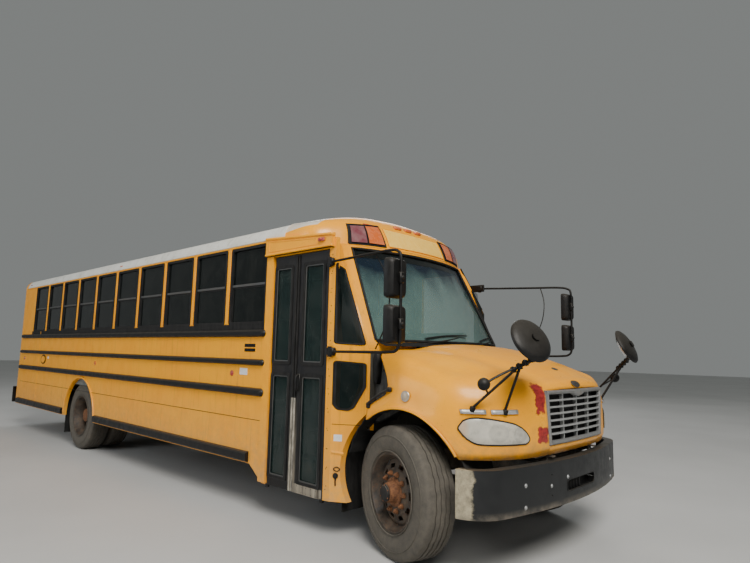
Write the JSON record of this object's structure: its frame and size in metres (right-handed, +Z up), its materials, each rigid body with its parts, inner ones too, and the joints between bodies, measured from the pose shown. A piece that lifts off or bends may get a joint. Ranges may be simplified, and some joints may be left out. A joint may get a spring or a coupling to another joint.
{
  "type": "school bus",
  "caption": "Conventional school bus with tilting hood, steered front wheels, twin rear wheels, two-leaf entrance door, emergency door, stop arm, roof hatches and hollow seated cabin",
  "frame": {"origin": "centre of the bounding box on the ground plane, below the middle of the bus", "axes": "+Z up, the bus faces -Y, +X is the driver's side, the entrance is on the -X side"},
  "size_m": [3.145, 11.2917, 3.1079],
  "materials": {
    "body_yellow": "satin, faded and stained with rust streaks",
    "roof_white": "matte, weathered",
    "trim_black": "satin, chalky",
    "frame_black": "dusty chassis paint",
    "axle_steel": "dusty and rusty",
    "galvanised": "dull",
    "window_glass": "green tint, dusty",
    "lamp_lens": "hazed clear lens with an amber end",
    "red_lens": "faded translucent lens",
    "lens_panels": "faded translucent lens",
    "mirror_black": "satin black with mirror face",
    "grille_grey": "faded bright grey",
    "bumper_black": "scraped at one end",
    "seat_vinyl": "worn padded vinyl",
    "floor_rubber": "ribbed, dusty",
    "dash_plastic": "grained",
    "tyre": "worn, dusty",
    "wheel_steel": "dark with rust at the nuts",
    "rubber_flap": "dusty sheet",
    "stop_red": "blank red plate, white rim",
    "hatch_white": "weathered moulding",
    "tank_steel": "dusty",
    "exhaust_steel": "rusted"
  },
  "bodies": {
    "chassis": {"chassis_frame": "frame_black", "front_axle": "axle_steel", "rear_axle": "axle_steel", "engine_block": "axle_steel", "radiator": "galvanised", "fuel_tank": "tank_steel", "exhaust_pipe": "exhaust_steel", "floor": "floor_rubber", "right_wall": "body_yellow", "left_wall": "body_yellow", "roof": "roof_white", "cowl": "body_yellow", "windshield": "window_glass", "front_cap": "body_yellow", "rear_wall": "body_yellow", "side_windows": "window_glass", "quarter_windows": "window_glass", "rub_rails": "trim_black", "front_bumper": "bumper_black", "rear_bumper": "bumper_black", "passenger_seats": "seat_vinyl", "driver_seat": "seat_vinyl", "dashboard": "dash_plastic", "side_mirrors": "mirror_black", "warning_lamps": "lens_panels", "tail_lamps": "red_lens", "mud_flaps": "rubber_flap", "stop_arm_bracket": "trim_black"},
    "hood": {"hood": "body_yellow", "headlamps": "lamp_lens", "grille": "grille_grey", "crossview_mirrors": "mirror_black"},
    "door_front": {"entrance_door_front": "trim_black", "entrance_glass_front": "window_glass"},
    "door_rear": {"entrance_door_rear": "trim_black", "entrance_glass_rear": "window_glass"},
    "emergency_door": {"rear_door": "body_yellow", "rear_door_glass": "window_glass"},
    "stop_arm": {"stop_arm": "stop_red"},
    "steering_wheel": {"steering_wheel": "dash_plastic"},
    "left_knuckle": {"left_knuckle": "axle_steel"},
    "right_knuckle": {"right_knuckle": "axle_steel"},
    "tie_rod": {"tie_rod": "axle_steel"},
    "front_left_wheel": {"front_left_tyre": "tyre", "front_left_rim": "wheel_steel"},
    "front_right_wheel": {"front_right_tyre": "tyre", "front_right_rim": "wheel_steel"},
    "rear_left_wheel": {"rear_left_tyres": "tyre", "rear_left_rims": "wheel_steel"},
    "rear_right_wheel": {"rear_right_tyres": "tyre", "rear_right_rims": "wheel_steel"},
    "front_hatch": {"front_hatch": "hatch_white"},
    "rear_hatch": {"rear_hatch": "hatch_white"}
  },
  "joints": [
    {"name": "left_steer", "type": "hinge", "parent": "chassis", "child": "left_knuckle", "pos_m": [0.95, -4.514, 0.5], "axis": [0, 0, 1], "range_deg": [-18, 52]},
    {"name": "right_steer", "type": "hinge", "parent": "chassis", "child": "right_knuckle", "pos_m": [-0.95, -4.514, 0.5], "axis": [0, 0, 1], "range_deg": [-18, 52]},
    {"name": "tie_rod_pivot", "type": "hinge", "parent": "left_knuckle", "child": "tie_rod", "pos_m": [1.00781, -4.32254, 0.44], "axis": [0, 0, 1], "range_deg": [-52, 18]},
    {"name": "steering_wheel_turn", "type": "hinge", "parent": "chassis", "child": "steering_wheel", "pos_m": [0.56, -3.474, 1.6], "axis": [0, 0.6157, 0.788], "range_deg": [-288, 832]},
    {"name": "front_left_spin", "type": "hinge", "parent": "left_knuckle", "child": "front_left_wheel", "pos_m": [0.95, -4.514, 0.51], "axis": [0.9573, -0.289, 0], "continuous": true},
    {"name": "front_right_spin", "type": "hinge", "parent": "right_knuckle", "child": "front_right_wheel", "pos_m": [-0.95, -4.514, 0.51], "axis": [0.9573, -0.289, 0], "continuous": true},
    {"name": "rear_left_spin", "type": "hinge", "parent": "chassis", "child": "rear_left_wheel", "pos_m": [0.86, 2.066, 0.51], "axis": [1, 0, 0], "continuous": true},
    {"name": "rear_right_spin", "type": "hinge", "parent": "chassis", "child": "rear_right_wheel", "pos_m": [-0.86, 2.066, 0.51], "axis": [1, 0, 0], "continuous": true},
    {"name": "door_front_swing", "type": "hinge", "parent": "chassis", "child": "door_front", "pos_m": [-1.194, -3.709, 1.4], "axis": [0, 0, 1], "range_deg": [0, 90]},
    {"name": "door_rear_swing", "type": "hinge", "parent": "chassis", "child": "door_rear", "pos_m": [-1.194, -2.932, 1.4], "axis": [0, 0, 1], "range_deg": [-90, 0]},
    {"name": "emergency_door_swing", "type": "hinge", "parent": "chassis", "child": "emergency_door", "pos_m": [-0.441, 5.542, 1.76], "axis": [0, 0, 1], "range_deg": [0, 110]},
    {"name": "hood_tilt", "type": "hinge", "parent": "chassis", "child": "hood", "pos_m": [0, -5.444, 0.83], "axis": [1, 0, 0], "range_deg": [0, 65]},
    {"name": "stop_arm_swing", "type": "hinge", "parent": "chassis", "child": "stop_arm", "pos_m": [1.275, -2.514, 1.318], "axis": [0, 0, 1], "range_deg": [-90, 0]},
    {"name": "front_hatch_lift", "type": "hinge", "parent": "chassis", "child": "front_hatch", "pos_m": [0, -1.346, 3.076], "axis": [1, 0, 0], "range_deg": [0, 60]},
    {"name": "rear_hatch_lift", "type": "hinge", "parent": "chassis", "child": "rear_hatch", "pos_m": [0, 2.454, 3.076], "axis": [1, 0, 0], "range_deg": [0, 60]}
  ],
  "couplings": [
    {"joint": "right_steer", "follows": "left_steer", "ratio": 1},
    {"joint": "tie_rod_pivot", "follows": "left_steer", "ratio": -1},
    {"joint": "steering_wheel_turn", "follows": "left_steer", "ratio": 16}
  ]
}
